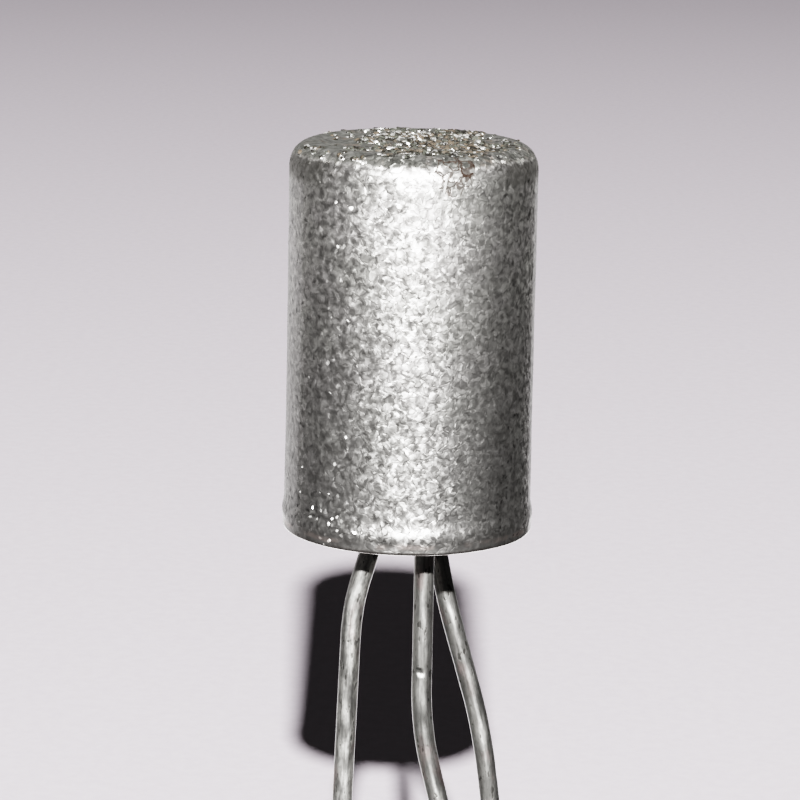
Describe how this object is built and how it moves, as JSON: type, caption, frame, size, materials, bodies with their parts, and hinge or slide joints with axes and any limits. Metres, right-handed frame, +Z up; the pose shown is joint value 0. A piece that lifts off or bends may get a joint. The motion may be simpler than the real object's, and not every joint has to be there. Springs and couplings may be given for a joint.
{
  "type": "germanium transistor",
  "caption": "Germanium transistor in a round metal can, closed at the top and sealed at the mouth by a glass header, with bent wire leads for emitter, base and collector.",
  "frame": {"origin": "centre of the rim of the can's mouth, on the plane where the can would sit on a board", "axes": "+Z up through the can to its closed end, leads along -Z; -Y is the front seen in the picture"},
  "size_m": [0.0062, 0.0062, 0.0235],
  "materials": {
    "can_metal": "matte tin plating, grainy",
    "header_metal": "satin",
    "seal_glass": "fused glass, slightly green",
    "solder": "soft solder, satin",
    "lead_wire": "tinned wire, drawn and pitted",
    "tab_nickel": "plain nickel strip",
    "germanium": "etched crystal",
    "indium": "soft bright metal",
    "fine_wire": "fine nickel wire"
  },
  "bodies": {
    "root": {"can": "can_metal", "header_ring": "header_metal", "glass_seal": "seal_glass", "solder_seam": "solder", "emitter_lead": "lead_wire", "base_lead": "lead_wire", "collector_lead": "lead_wire", "base_tab": "tab_nickel", "base_solder": "solder", "germanium_wafer": "germanium", "emitter_bead": "indium", "collector_bead": "indium", "emitter_wire": "fine_wire", "collector_wire": "fine_wire"}
  },
  "joints": []
}
